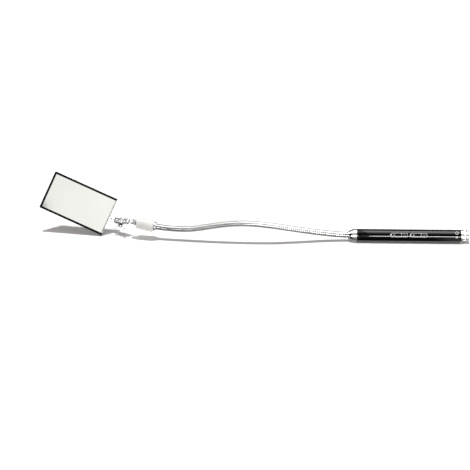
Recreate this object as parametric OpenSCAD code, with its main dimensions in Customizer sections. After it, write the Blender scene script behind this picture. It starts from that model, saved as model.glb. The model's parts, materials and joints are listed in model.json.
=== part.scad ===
// Lighted inspection mirror: a small framed mirror on a double ball clamp, a lamp head,
// a flexible metal neck and a slim battery handle. Millimetres, +Z up.
// The origin is on the handle's axis at the middle of the barrel, +X points to the tail cap,
// and the mirror end lies towards -X. The surface that the handle lies on is at z = -barrel_d / 2.

/* [Handle] */
// Outside diameter of the barrel
barrel_d = 12.6; // [12.5:0.1:13]
// Length of the barrel tube
barrel_len = 106.6; // [106:0.2:110]
// Wall of the barrel tube
barrel_wall = 0.6; // [0.5:0.05:0.65]
// Length of the satin ring at the front of the barrel
front_ring_len = 4.6; // [4:0.2:6]
// Length of the chrome collar that holds the neck
rear_collar_len = 4; // [3:0.2:6]
// Length of the tail cap behind the barrel
tail_len = 8.7; // [8:0.1:10]
// Diameter of one battery cell
cell_d = 10.4; // [10.2:0.1:10.5]
// Length of one battery cell with its terminal
cell_len = 44.5; // [44:0.1:44.6]

/* [Neck] */
// Outside diameter of the flexible neck
neck_d = 6; // [5.6:0.1:6.4]
// Bore of the flexible neck
neck_bore_d = 3.2; // [2.8:0.1:3.4]
// Length of the flexible neck along the handle's axis
neck_run = 194.2; // [190:0.2:200]
// Gap between two stretches of the neck at a bend
neck_gap = 1.1; // [1:0.05:1.3]
// How far the neck bows sideways
neck_bow = 7.5; // [6:0.5:9]

/* [Lamp head] */
// Turn of the lamp head away from the handle's axis, seen from above
head_yaw = 9.5; // [8:0.5:11]
// Rise of the lamp head
head_pitch = 7.3; // [6:0.1:9]
// Length of the translucent hood
hood_len = 17; // [16:0.5:18]
// Diameter of the hood at its rear end
hood_rear_d = 12.8; // [12.4:0.1:13.2]
// Diameter of the hood at its front end
hood_front_d = 11.4; // [11.2:0.1:11.8]
// Diameter of the lamp
led_d = 5; // [4.8:0.1:5]

/* [Ball clamp] */
// Diameter of both balls
ball_d = 4.4; // [4.2:0.1:4.6]
// Half of the gap between the clamp plates
plate_half_gap = 1.4; // [1.3:0.05:1.5]
// Thickness of a clamp plate
plate_t = 0.9; // [0.8:0.1:1]
// Span of the wing nut from tip to tip
wing_span = 13.6; // [12:0.2:14]

/* [Mirror] */
// Long side of the mirror frame
mirror_w = 70; // [68:0.5:72]
// Short side of the mirror frame
mirror_h = 40.6; // [39:0.2:42]
// Depth of the mirror frame
mirror_depth = 3; // [2.8:0.1:3.4]
// Width of the black lip around the glass
lip_w = 2.2; // [1.8:0.1:2.4]
// Thickness of the glass
glass_t = 1.5; // [1.3:0.1:1.6]
// How far the mirror leans back from upright
mirror_lean = 25; // [22:1:28]
// How far the mirror's long side slopes down towards its joint
mirror_roll = 23.8; // [22:0.2:26]

/* [Hidden] */
$fn = 48;

// ---- Places along the handle, all measured on X ----
barrel_r = barrel_d / 2;
bore_r = barrel_r - barrel_wall;
floor_z = -barrel_r;
barrel_front = -barrel_len / 2;
barrel_rear = barrel_len / 2;
ring_front = barrel_front - front_ring_len;
collar_front = ring_front - rear_collar_len;
fit = 0.05;
// The front ring and the tail cap's rim are this much smaller in radius than the barrel
ring_step = 0.2;
plug_len = 8;
plug_rear = barrel_front + plug_len;
contact_t = 2;
cells_front = plug_rear + contact_t;
cell_joint = cells_front + cell_len;
cells_rear = cell_joint + cell_len;
terminal_r = 1.9;
terminal_len = 1;
liner_t = 0.2;

// ---- The flexible neck: rigid stretches between hinges ----
STRETCHES = 17;
neck_step = neck_run / STRETCHES;
neck_start = collar_front - 1.4;
neck_r = neck_d / 2;
neck_bore_r = neck_bore_d / 2;
rib_pitch = 2.1;
rib_depth = 0.35;
// Height of the neck above the handle's axis at each hinge, from the handle to the lamp head
neck_rise = [0, 0.7, 2.3, 4.2, 6.5, 8.9, 11.2, 13, 14.3, 14.9, 14.6, 13.3, 11.2, 8.8, 6.8, 6.1, 6.2, 7];
bow_at = 87;

function unit(v) = v / norm(v);
// The part of v that is square to d, at length 1
function square_to(v, d) = unit(v - (v * d) * d);
// Sideways place of the neck after a run of x from the handle
function bow(x) =
    x < bow_at
        ? -neck_bow * (1 - cos(180 * x / bow_at)) / 2
        : -neck_bow * (1 - pow((x - bow_at) / (neck_run - bow_at), 2));
function neck_point(i) = [neck_start - i * neck_step, bow(i * neck_step), neck_rise[i]];
function neck_way(i) = unit(neck_point(i + 1) - neck_point(i));

// ---- The lamp head: its frame has z forward, y away from the front, x up ----
head_origin = neck_point(STRETCHES);
head_way = [
    -cos(head_pitch) * cos(head_yaw),
    cos(head_pitch) * sin(head_yaw),
    sin(head_pitch)
];
head_start = 1;
ferrule_len = 2.1;
ferrule_r = 4.6;
neck_reach = head_start + ferrule_len + 5;
lamp_rear = head_start + ferrule_len + 0.2;
hood_rear = lamp_rear + 1;
hood_front = hood_rear + hood_len;
lamp_front = hood_front - 0.8;
hood_bore_r = 5;
lamp_r = hood_bore_r - fit;
led_up = 1;
led_side = -1.6;
led_r = led_d / 2;
led_reach = 7;
bezel_r = 2.9;
rod_up = -1.7;
rod_side = 2.6;
rod_r = 1;
rod_neck_r = 0.8;
rod_reach = 10.8;

// ---- The mirror: its frame has x along the long side to the joint, y up, z to the viewer ----
mirror_x = [
    cos(mirror_roll),
    -sin(mirror_roll) * sin(mirror_lean),
    -sin(mirror_roll) * cos(mirror_lean)
];
mirror_z = [0, -cos(mirror_lean), sin(mirror_lean)];
mirror_y = cross(mirror_z, mirror_x);
back_t = 0.6;
blade_t = 1.2;
blade_w = 9;
blade_len = 16;
rivet_places = [-4, -12];
rivet_hole_r = 1.15;
stud_reach = 8;
stud_depth = mirror_depth + blade_t / 2;
// The frame's lowest corner rests on the surface, this far along X and Y from the origin
corner_x = -315.3;
corner_y = 4;
corner_z = floor_z + mirror_depth * sin(mirror_lean);
edge_middle = [corner_x, corner_y, corner_z] + mirror_h / 2 * mirror_y;

// ---- The double ball clamp: its frame has x from the arm ball to the mirror ball, z to the screw head ----
function on_head(up, side, forward) =
    head_origin + forward * head_way + side * head_side + up * head_up;
head_up = unit(cross([0, 1, 0], head_way));
head_side = cross(head_way, head_up);
ball_r = ball_d / 2;
ball_gap = 0.03;
arm_ball_at = on_head(rod_up, rod_side, hood_front + rod_reach);
mirror_ball_at = edge_middle + stud_reach * mirror_x - stud_depth * mirror_z;
clamp_x = unit(mirror_ball_at - arm_ball_at);
clamp_z = square_to([0.28, 0.7, 0.66], clamp_x);
clamp_middle = (arm_ball_at + mirror_ball_at) / 2;
ball_spacing = norm(mirror_ball_at - arm_ball_at);
plate_r = 2.7;
socket_r = 1.78;
screw_r = 1.5;
plate_out = plate_half_gap + plate_t;
washer_t = 0.5;
nut_top = plate_out + washer_t + 0.1;
nut_hub_h = 3;

// ---- Frames ----
// Local z points along +X from x = at
module along_handle(at) {
    translate([at, 0, 0]) rotate([0, 90, 0]) children();
}

module in_frame(o, x, y, z) {
    multmatrix([
        [x[0], y[0], z[0], o[0]],
        [x[1], y[1], z[1], o[1]],
        [x[2], y[2], z[2], o[2]]
    ]) children();
}

module on_neck(i) {
    way = neck_way(i);
    up = unit(cross([0, 1, 0], way));
    in_frame(neck_point(i), up, cross(way, up), way) children();
}

module in_head() {
    in_frame(head_origin, head_up, head_side, head_way) children();
}

module in_clamp() {
    in_frame(clamp_middle, clamp_x, cross(clamp_z, clamp_x), clamp_z) children();
}

module in_mirror() {
    in_frame(edge_middle, mirror_x, mirror_y, mirror_z) children();
}

// ---- Shared shapes ----
module tube(outer, inner, length) {
    difference() {
        cylinder(r = outer, h = length);
        translate([0, 0, -1]) cylinder(r = inner, h = length + 2);
    }
}

// A stretch of ribbed hose along z, with flat ends
module ribbed(length) {
    ribs = floor(length / rib_pitch);
    step = length / ribs;
    root = neck_r - rib_depth;
    outline = concat(
        [[neck_bore_r, 0], [root, 0]],
        [for (k = [0:ribs - 1]) each [[neck_r, (k + 0.5) * step], [root, (k + 1) * step]]],
        [[neck_bore_r, length]]
    );
    rotate_extrude() polygon(outline);
}

// ---- Handle ----
module barrel() {
    color([0.05, 0.05, 0.055]) along_handle(barrel_front) tube(barrel_r, bore_r, barrel_len);
}

module front_ring() {
    spigot_r = bore_r - 0.02;
    hole_r = 4;
    color("silver") along_handle(ring_front) difference() {
        union() {
            cylinder(r = barrel_r - ring_step, h = front_ring_len);
            cylinder(r = spigot_r, h = front_ring_len + plug_len);
        }
        translate([0, 0, -1]) cylinder(r = hole_r, h = front_ring_len + plug_len + 2);
    }
}

module rear_collar() {
    flange_r = 5.1;
    mouth_r = 4.5;
    spigot_r = 3.98;
    spigot_len = 7;
    color("gainsboro") along_handle(collar_front) difference() {
        union() {
            cylinder(r1 = mouth_r, r2 = flange_r, h = rear_collar_len - 1);
            translate([0, 0, rear_collar_len - 1]) cylinder(r = flange_r, h = 1);
            cylinder(r = spigot_r, h = rear_collar_len + spigot_len);
        }
        translate([0, 0, -1]) cylinder(r = neck_r + fit, h = rear_collar_len + spigot_len + 2);
    }
}

module neck_end_rear() {
    first = neck_start + neck_gap / 2;
    color("silver") along_handle(first) ribbed(ring_front + 6 - first);
}

module battery_liner() {
    liner_r = bore_r - fit;
    color("ivory") along_handle(plug_rear) tube(liner_r, liner_r - liner_t, 2 * cell_len + contact_t);
}

module contact_holder() {
    holder_r = bore_r - 0.1 - liner_t;
    color("white") along_handle(plug_rear) difference() {
        cylinder(r = holder_r, h = contact_t - 0.05);
        translate([0, 0, -1]) cylinder(r = 1.2, h = contact_t + 2);
        translate([0, 0, contact_t - 0.6]) cylinder(r = 2.3, h = 1);
    }
}

module front_contact() {
    color("goldenrod") along_handle(plug_rear) union() {
        translate([0, 0, -1]) cylinder(r = 1.15, h = contact_t + 0.5);
        translate([0, 0, contact_t - 0.55]) cylinder(r = 2.2, h = 0.55);
    }
}

module rear_lead() {
    lead_r = 0.7;
    front = collar_front + 1;
    color("firebrick") along_handle(front) cylinder(r = lead_r, h = plug_rear - 1 - front);
}

// A round cell along +X with its small terminal in front
module cell(front) {
    color([0.55, 0.57, 0.6]) along_handle(front) union() {
        cylinder(r = terminal_r, h = terminal_len + 1);
        translate([0, 0, terminal_len]) cylinder(r = cell_d / 2, h = cell_len - terminal_len);
    }
}

module battery_front() {
    cell(cells_front);
}

module battery_rear() {
    cell(cell_joint);
}

// The tail cap is the twist switch and the battery cover
module tail_cap() {
    rim_r = barrel_r - ring_step;
    groove_r = 5.55;
    spigot_r = bore_r - fit;
    spigot_in = 5;
    spring_room_r = 4.2;
    rim_len = 2.6;
    groove_len = 3;
    dome_r = 5.9;
    dome_bulge = 1.3;
    dome_ball_r = (dome_r * dome_r + dome_bulge * dome_bulge) / (2 * dome_bulge);
    dome_at = rim_len + groove_len;
    flutes = 18;
    seal_root_r = 4.75;
    color("silver") difference() {
        along_handle(barrel_rear) difference() {
            union() {
                translate([0, 0, -spigot_in]) cylinder(r = spigot_r, h = spigot_in + 1);
                cylinder(r = rim_r, h = rim_len);
                translate([0, 0, rim_len - 0.1]) cylinder(r = groove_r, h = groove_len + 0.2);
                intersection() {
                    translate([0, 0, dome_at]) cylinder(r = dome_r, h = tail_len - dome_at);
                    translate([0, 0, tail_len - dome_ball_r]) sphere(r = dome_ball_r);
                }
            }
            translate([0, 0, -spigot_in - 1]) cylinder(r = spring_room_r, h = spigot_in + 4);
            for (k = [0:flutes - 1])
                rotate([0, 0, k * 360 / flutes])
                    translate([groove_r + 0.15, 0, rim_len + 0.3]) cylinder(r = 0.5, h = groove_len - 0.6);
        }
        along_handle(barrel_rear - 2.2) difference() {
            cylinder(r = spigot_r + 1, h = 1.1);
            translate([0, 0, -1]) cylinder(r = seal_root_r, h = 3);
        }
    }
}

module tail_o_ring() {
    cord_r = 0.42;
    ring_r = bore_r - fit - cord_r;
    color("black") along_handle(barrel_rear - 1.65)
        rotate_extrude() translate([ring_r, 0]) circle(r = cord_r);
}

module tail_contact() {
    color("goldenrod") along_handle(barrel_rear + 2.3) cylinder(r = 4, h = 0.6);
}

// A compression spring wound by formula, from the tail contact to the rear cell
module battery_spring() {
    coil_r = 3.3;
    wire_r = 0.35;
    turns = 5;
    steps = 14;
    sides = 6;
    rings = turns * steps;
    length = barrel_rear + 2.25 - wire_r - (cells_rear + 0.05) - wire_r;
    points = [
        for (k = [0:rings])
            let (a = 360 * k / steps, z = length * k / rings)
            for (s = [0:sides - 1])
                let (b = 360 * s / sides)
                [
                    (coil_r + wire_r * cos(b)) * cos(a),
                    (coil_r + wire_r * cos(b)) * sin(a),
                    z + wire_r * sin(b)
                ]
    ];
    walls = [
        for (k = [0:rings - 1], s = [0:sides - 1])
            let (t = (s + 1) % sides)
            [k * sides + s, k * sides + t, (k + 1) * sides + t, (k + 1) * sides + s]
    ];
    ends = [[for (s = [sides - 1:-1:0]) s], [for (s = [0:sides - 1]) rings * sides + s]];
    color("silver") along_handle(cells_rear + 0.05 + wire_r)
        polyhedron(points = points, faces = concat(walls, ends), convexity = 8);
}

// ---- Neck ----
// Stretch number k, counted from the handle
module neck_stretch(k) {
    length = norm(neck_point(k) - neck_point(k - 1));
    color(k % 2 == 0 ? "silver" : "lightgray") on_neck(k - 1)
        translate([0, 0, neck_gap / 2]) ribbed(length - neck_gap);
}

// ---- Lamp head ----
module neck_end_front() {
    first = neck_gap / 2;
    color("silver") in_head() translate([0, 0, first]) ribbed(neck_reach - first);
}

module front_ferrule() {
    spigot_r = 3.9;
    spigot_len = 6;
    color("gainsboro") in_head() translate([0, 0, head_start]) difference() {
        union() {
            cylinder(r = ferrule_r, h = ferrule_len);
            cylinder(r = spigot_r, h = ferrule_len + spigot_len);
        }
        translate([0, 0, -1]) cylinder(r = neck_r + fit, h = ferrule_len + spigot_len + 2);
    }
}

module lamp_body() {
    length = lamp_front - lamp_rear;
    socket_depth = 6.6;
    led_pocket = 3.4;
    color("whitesmoke") in_head() difference() {
        translate([0, 0, lamp_rear]) cylinder(r = lamp_r, h = length);
        translate([0, 0, lamp_rear - 1]) cylinder(r = 3.95, h = socket_depth + 1);
        translate([led_up, led_side, lamp_front - led_pocket])
            cylinder(r = bezel_r + 0.03, h = led_pocket + 1);
        translate([led_up, led_side, lamp_rear]) cylinder(r = 1.6, h = length);
        translate([rod_up, rod_side, lamp_front - 5]) cylinder(r = rod_r + 0.02, h = 6);
    }
}

module lamp_hood() {
    color([0.95, 0.95, 0.93, 0.8]) in_head() translate([0, 0, hood_rear]) difference() {
        cylinder(r1 = hood_rear_d / 2, r2 = hood_front_d / 2, h = hood_len);
        translate([0, 0, -1]) cylinder(r = hood_bore_r, h = hood_len + 2);
    }
}

module led_lamp() {
    flange_r = 2.8;
    straight = led_reach - led_r;
    base = lamp_front - 3.2;
    color([0.9, 0.95, 1, 0.6]) in_head() translate([led_up, led_side, base]) union() {
        cylinder(r = flange_r, h = 1);
        cylinder(r = led_r, h = hood_front + straight - base);
        translate([0, 0, hood_front + straight - base]) sphere(r = led_r);
    }
}

module led_bezel() {
    base = lamp_front - 1.6;
    color("gray") in_head() translate([led_up, led_side, base])
        tube(bezel_r, led_r + 0.04, hood_front + 1.4 - base);
}

module led_leads() {
    lead_r = 0.3;
    rear = neck_reach + 0.4;
    color("silver") in_head() for (s = [-1, 1])
        translate([led_up, led_side + s * 0.65, rear]) cylinder(r = lead_r, h = lamp_front - 3.25 - rear);
}

module arm_rod() {
    root = lamp_front - 4.9;
    waist = hood_front + 5.5;
    ball_at = hood_front + rod_reach;
    color("gainsboro") in_head() translate([rod_up, rod_side, 0]) difference() {
        union() {
            translate([0, 0, root]) cylinder(r = rod_r, h = waist - root);
            translate([0, 0, waist]) cylinder(r1 = rod_r, r2 = rod_neck_r, h = 0.8);
            translate([0, 0, waist + 0.8]) cylinder(r = rod_neck_r, h = ball_at - waist - 1.5);
        }
        translate([0, 0, ball_at]) sphere(r = ball_r + ball_gap);
    }
}

module arm_ball() {
    color("gainsboro") translate(arm_ball_at) sphere(r = ball_r);
}

// ---- Ball clamp ----
// One stamped plate with a socket at each end and the screw hole in the middle; side is 1 above, -1 below
module clamp_plate(side) {
    z0 = side > 0 ? plate_half_gap : -plate_out;
    half = ball_spacing / 2;
    color("gainsboro") in_clamp() translate([0, 0, z0]) difference() {
        union() {
            translate([-half, -plate_r, 0]) cube([2 * half, 2 * plate_r, plate_t]);
            for (end = [-half, half]) translate([end, 0, 0]) cylinder(r = plate_r, h = plate_t);
        }
        for (end = [-half, half]) translate([end, 0, -1]) cylinder(r = socket_r, h = plate_t + 2);
        translate([0, 0, -1]) cylinder(r = screw_r + 0.08, h = plate_t + 2);
    }
}

module clamp_plate_upper() {
    clamp_plate(1);
}

module clamp_plate_lower() {
    clamp_plate(-1);
}

module clamp_screw() {
    head_r = 2.6;
    head_h = 1.5;
    slot_w = 0.6;
    tip = nut_top + nut_hub_h + 1.2;
    color("silver") in_clamp() difference() {
        union() {
            translate([0, 0, -tip]) cylinder(r = screw_r, h = tip + plate_out + 0.1);
            translate([0, 0, plate_out + 0.03]) cylinder(r = head_r, h = head_h);
        }
        translate([-head_r - 1, -slot_w / 2, plate_out + head_h - 0.6]) cube([2 * head_r + 2, slot_w, 2]);
    }
}

module clamp_washer() {
    washer_r = 3;
    color("silver") in_clamp() translate([0, 0, -plate_out - 0.03 - washer_t])
        tube(washer_r, screw_r + 0.08, washer_t);
}

module wing_nut() {
    hub_r = 2.5;
    wing_t = 1.1;
    wing_h = 6.6;
    root_r = 1.8;
    color("gainsboro") in_clamp() translate([0, 0, -nut_top]) rotate([180, 0, 0]) difference() {
        union() {
            cylinder(r1 = hub_r + 0.4, r2 = hub_r, h = nut_hub_h);
            for (turn = [0, 180]) rotate([0, 0, turn]) translate([0, wing_t / 2, 0]) rotate([90, 0, 0])
                linear_extrude(height = wing_t) union() {
                    polygon([
                        [root_r, 0.4], [hub_r + 1, 0.9], [wing_span / 2, wing_h - 2.2],
                        [wing_span / 2 - 2.6, wing_h - 0.3], [root_r, nut_hub_h - 0.1]
                    ]);
                    translate([wing_span / 2 - 1.5, wing_h - 1.5]) circle(r = 1.5);
                }
        }
        translate([0, 0, -1]) cylinder(r = screw_r + 0.04, h = nut_hub_h + 2);
    }
}

// ---- Mirror ----
module mirror_ball() {
    color("gainsboro") translate(mirror_ball_at) sphere(r = ball_r);
}

// A flat blade behind the back plate that runs out into a round stud
module mirror_stud() {
    blade_end = 1.5;
    shoulder_len = 2;
    color("gainsboro") in_mirror() translate([0, 0, -stud_depth]) difference() {
        union() {
            translate([-blade_len, -blade_w / 2, -blade_t / 2 + fit])
                cube([blade_len, blade_w, blade_t - 2 * fit]);
            translate([-0.1, -blade_w / 4, -blade_t / 2 + fit])
                cube([blade_end + 0.6, blade_w / 2, blade_t - 2 * fit]);
            translate([blade_end, 0, 0]) rotate([0, 90, 0]) cylinder(r = rod_r, h = shoulder_len);
            translate([blade_end + shoulder_len, 0, 0]) rotate([0, 90, 0])
                cylinder(r = rod_neck_r, h = stud_reach - blade_end - shoulder_len - 1);
        }
        for (x = rivet_places) translate([x, 0, -blade_t]) cylinder(r = rivet_hole_r, h = 2 * blade_t);
        translate([stud_reach, 0, 0]) sphere(r = ball_r + ball_gap);
    }
}

module mirror_rivets() {
    shank_r = 1.1;
    head_r = 1.9;
    color("silver") in_mirror() for (x = rivet_places) translate([x, 0, 0]) union() {
        translate([0, 0, -mirror_depth - blade_t - 0.3]) cylinder(r = shank_r, h = blade_t + 0.25 + back_t);
        translate([0, 0, -mirror_depth - blade_t - 0.65]) cylinder(r1 = head_r - 0.5, r2 = head_r, h = 0.65);
    }
}

// Steel plate behind the glass, with an upturned edge on the joint side
module mirror_back() {
    inset = 1;
    edge_t = 0.7;
    edge_inset = lip_w + fit;
    color("lightsteelblue") in_mirror() difference() {
        union() {
            translate([-mirror_w + inset, -mirror_h / 2 + inset, -mirror_depth])
                cube([mirror_w - inset, mirror_h - 2 * inset, back_t]);
            translate([-edge_t, -mirror_h / 2 + edge_inset, -mirror_depth])
                cube([edge_t, mirror_h - 2 * edge_inset, mirror_depth - 0.2]);
        }
        for (x = rivet_places) translate([x, 0, -mirror_depth - 1])
            cylinder(r = rivet_hole_r, h = back_t + 2);
    }
}

module mirror_pad() {
    pad_t = mirror_depth - back_t - glass_t - 0.45;
    inset = 4;
    color("dimgray") in_mirror() difference() {
        translate([-mirror_w + inset, -mirror_h / 2 + inset, -mirror_depth + back_t + 0.05])
            cube([mirror_w - 2 * inset, mirror_h - 2 * inset, pad_t]);
        for (x = rivet_places) translate([x, 0, -mirror_depth]) cylinder(r = 1.6, h = mirror_depth);
    }
}

module mirror_glass() {
    inset = 1.2;
    color([0.85, 0.88, 0.87]) in_mirror()
        translate([-mirror_w + inset, -mirror_h / 2 + inset, -0.35 - glass_t])
        cube([mirror_w - inset - 0.8, mirror_h - 2 * inset, glass_t]);
}

// Black U-shaped rim around three sides, open towards the joint
module mirror_frame() {
    wall = 0.95;
    lip_t = 0.3;
    color([0.03, 0.03, 0.03]) in_mirror() difference() {
        translate([-mirror_w, -mirror_h / 2, -mirror_depth]) cube([mirror_w, mirror_h, mirror_depth]);
        translate([-mirror_w + wall, -mirror_h / 2 + wall, -mirror_depth - 1])
            cube([mirror_w, mirror_h - 2 * wall, mirror_depth + 1 - lip_t]);
        translate([-mirror_w + lip_w, -mirror_h / 2 + lip_w, -mirror_depth])
            cube([mirror_w, mirror_h - 2 * lip_w, mirror_depth + 1]);
    }
}

barrel();
front_ring();
rear_collar();
neck_end_rear();
battery_liner();
contact_holder();
front_contact();
rear_lead();
battery_front();
battery_rear();
tail_cap();
tail_o_ring();
tail_contact();
battery_spring();
neck_stretch(1);  // neck_01
neck_stretch(2);  // neck_02
neck_stretch(3);  // neck_03
neck_stretch(4);  // neck_04
neck_stretch(5);  // neck_05
neck_stretch(6);  // neck_06
neck_stretch(7);  // neck_07
neck_stretch(8);  // neck_08
neck_stretch(9);  // neck_09
neck_stretch(10);  // neck_10
neck_stretch(11);  // neck_11
neck_stretch(12);  // neck_12
neck_stretch(13);  // neck_13
neck_stretch(14);  // neck_14
neck_stretch(15);  // neck_15
neck_stretch(16);  // neck_16
neck_stretch(17);  // neck_17
neck_end_front();
front_ferrule();
lamp_body();
lamp_hood();
led_lamp();
led_bezel();
led_leads();
arm_rod();
arm_ball();
clamp_plate_upper();
clamp_plate_lower();
clamp_screw();
clamp_washer();
wing_nut();
mirror_ball();
mirror_stud();
mirror_rivets();
mirror_back();
mirror_pad();
mirror_glass();
mirror_frame();
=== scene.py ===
import json
import math

import bmesh
import bpy
from mathutils import Matrix, Vector

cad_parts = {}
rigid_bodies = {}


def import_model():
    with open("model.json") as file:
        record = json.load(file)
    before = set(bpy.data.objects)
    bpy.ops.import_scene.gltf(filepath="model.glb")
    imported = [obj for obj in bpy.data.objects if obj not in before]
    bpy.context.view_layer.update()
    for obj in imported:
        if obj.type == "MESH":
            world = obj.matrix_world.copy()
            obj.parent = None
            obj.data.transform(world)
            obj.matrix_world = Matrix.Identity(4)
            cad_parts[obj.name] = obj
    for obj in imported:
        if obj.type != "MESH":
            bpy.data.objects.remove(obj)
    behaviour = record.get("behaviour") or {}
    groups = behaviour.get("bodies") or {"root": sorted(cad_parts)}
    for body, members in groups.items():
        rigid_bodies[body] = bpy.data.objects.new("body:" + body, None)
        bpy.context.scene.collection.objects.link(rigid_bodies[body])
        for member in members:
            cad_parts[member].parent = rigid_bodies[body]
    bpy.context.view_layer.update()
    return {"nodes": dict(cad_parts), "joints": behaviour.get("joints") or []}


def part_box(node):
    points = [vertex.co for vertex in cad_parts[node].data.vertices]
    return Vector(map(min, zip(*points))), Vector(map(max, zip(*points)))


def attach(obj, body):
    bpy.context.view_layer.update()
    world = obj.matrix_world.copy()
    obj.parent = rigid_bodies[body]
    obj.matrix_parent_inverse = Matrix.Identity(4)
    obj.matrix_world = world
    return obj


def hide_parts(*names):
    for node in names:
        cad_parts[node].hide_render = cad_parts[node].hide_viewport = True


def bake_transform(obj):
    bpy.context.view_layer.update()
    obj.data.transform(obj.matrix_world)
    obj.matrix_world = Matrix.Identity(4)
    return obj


# Looks of the lighted inspection mirror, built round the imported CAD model. +X points to the tail cap, +Z up,
# and the mirror end lies towards -X. The frame and the stage are in metres. Outlines and shells are in
# millimetres, in the local frame of their piece.
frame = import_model()

MM = 0.001
JOINTS = {joint["name"]: joint for joint in frame["joints"]}
FLOOR_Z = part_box("barrel")[0].z


# ---------------------------------------------------------------- places taken from the frame
def local_frame(origin, x, y, z):
    """A frame's matrix from its origin and its three axes."""
    axes = Matrix((Vector(x), Vector(y), Vector(z))).transposed().to_4x4()
    axes.translation = Vector(origin)
    return axes


def joint_point(name):
    return Vector(JOINTS[name]["pos_m"])


def joint_axis(name):
    return Vector(JOINTS[name]["axis"]).normalized()


def extent(node, place):
    """Lowest and highest corner of a CAD node in a local frame, in millimetres."""
    inverse = place.inverted()
    points = [inverse @ vertex.co / MM for vertex in frame["nodes"][node].data.vertices]
    return [Vector([pick(point[i] for point in points) for i in range(3)]) for pick in (min, max)]


def neck_joints():
    """The neck's joints in order, from the handle to the lamp head."""
    after = {joint["parent"]: joint for joint in frame["joints"] if joint["name"].startswith("neck")}
    found, body = [], "handle"
    while body in after:
        found.append(after[body])
        body = after[body]["child"]
    return found


NECK = neck_joints()
WORLD_X = Vector((1, 0, 0))
WORLD_Y = Vector((0, 1, 0))

# z along the handle to the tail cap
HANDLE = local_frame((0, 0, 0), (0, 0, -1), (0, 1, 0), (1, 0, 0))

# z forward along the lamp head, x up
head_way = joint_axis("arm_ball_spin")
head_up = WORLD_Y.cross(head_way).normalized()
HEAD = local_frame(NECK[-1]["pos_m"], head_up, head_way.cross(head_up), head_way)

# x from the arm ball to the mirror ball, z to the screw head
arm_ball_at = joint_point("arm_ball_spin")
mirror_ball_at = joint_point("mirror_ball_spin")
clamp_x = (mirror_ball_at - arm_ball_at).normalized()
clamp_z = joint_axis("arm_ball_swing")
CLAMP = local_frame((arm_ball_at + mirror_ball_at) / 2, clamp_x, clamp_z.cross(clamp_x), clamp_z)

# x along the mirror's long side to its joint, y up, z out of the glass; origin at the ball
mirror_x = joint_axis("mirror_ball_spin")
mirror_z = mirror_x.cross(WORLD_X).normalized()
MIRROR = local_frame(mirror_ball_at, mirror_x, mirror_z.cross(mirror_x), mirror_z)
ARM_BALL = HEAD.copy()
ARM_BALL.translation = arm_ball_at


# ---------------------------------------------------------------- camera
def make_camera():
    """A long lens, a little above the tool and square to its handle."""
    elevation = math.radians(25)
    distance = 1.651
    roll = math.radians(0.57)
    target = Vector((-0.1778, 0, -0.0014))
    data = bpy.data.cameras.new("camera")
    data.lens = 123.4
    data.sensor_width = 36
    data.clip_end = 60
    camera = linked("camera", data)
    back = Vector((0, -math.cos(elevation), math.sin(elevation)))
    camera.matrix_world = (
        Matrix.Translation(target + back * distance)
        @ (-back).to_track_quat("-Z", "Y").to_matrix().to_4x4()
        @ Matrix.Rotation(roll, 4, "Z")
    )
    bpy.context.scene.camera = camera


# ---------------------------------------------------------------- materials
class Nodes:
    """A material's node tree."""

    def __init__(self, name):
        self.material = bpy.data.materials.new(name)
        self.material.use_nodes = True
        self.tree = self.material.node_tree

    def node(self, kind, inputs=None, **settings):
        made = self.tree.nodes.new(kind)
        for key, value in settings.items():
            setattr(made, key, value)
        for key, value in (inputs or {}).items():
            if isinstance(value, bpy.types.NodeSocket):
                self.tree.links.new(value, made.inputs[key])
            else:
                made.inputs[key].default_value = value
        return made

    def spread(self, source, low, high, start=0.3, end=0.7):
        """A source between start and end, spread over low to high."""
        inputs = {"Value": source, "From Min": start, "From Max": end, "To Min": low, "To Max": high}
        return self.node("ShaderNodeMapRange", inputs).outputs[0]

    def colours(self, source, stops):
        """A colour ramp with stops of (position, colour)."""
        ramp = self.node("ShaderNodeValToRGB", {"Fac": source})
        elements = ramp.color_ramp.elements
        while len(elements) < len(stops):
            elements.new(0.5)
        for element, (position, colour) in zip(elements, stops):
            element.position = position
            element.color = (*colour, 1)
        return ramp.outputs["Color"]


class Paint(Nodes):
    """A material on the principled shader, in the coordinates of the piece itself."""

    def __init__(self, name, **sockets):
        super().__init__(name)
        self.shader = self.tree.nodes["Principled BSDF"]
        for socket, value in sockets.items():
            self.shader.inputs[socket.replace("_", " ")].default_value = value
        self.place = self.node("ShaderNodeTexCoord").outputs["Object"]

    def noise(self, scale, stretch=(1, 1, 1), detail=4):
        """Noise of that many features a metre, stretched along the piece's axes."""
        mapped = self.node("ShaderNodeMapping", {"Vector": self.place, "Scale": stretch})
        texture = {"Vector": mapped.outputs[0], "Scale": scale, "Detail": detail, "Roughness": 0.55}
        return self.node("ShaderNodeTexNoise", texture).outputs["Fac"]

    def cells(self, scale):
        """Distance to the nearest of scattered points."""
        return self.node("ShaderNodeTexVoronoi", {"Vector": self.place, "Scale": scale}).outputs[0]

    def relief(self, *layers):
        """Stacked bumps of (height source, depth in metres)."""
        normal = None
        for height, depth in layers:
            inputs = {"Height": height, "Distance": depth, "Strength": 1}
            if normal is not None:
                inputs["Normal"] = normal
            normal = self.node("ShaderNodeBump", inputs).outputs["Normal"]
        self.drive("Normal", normal)

    def drive(self, socket, source):
        self.tree.links.new(source, self.shader.inputs[socket])


def grey(level):
    return (level, level, level)


def shade(colour, share):
    return tuple(share * channel for channel in colour)


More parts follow.
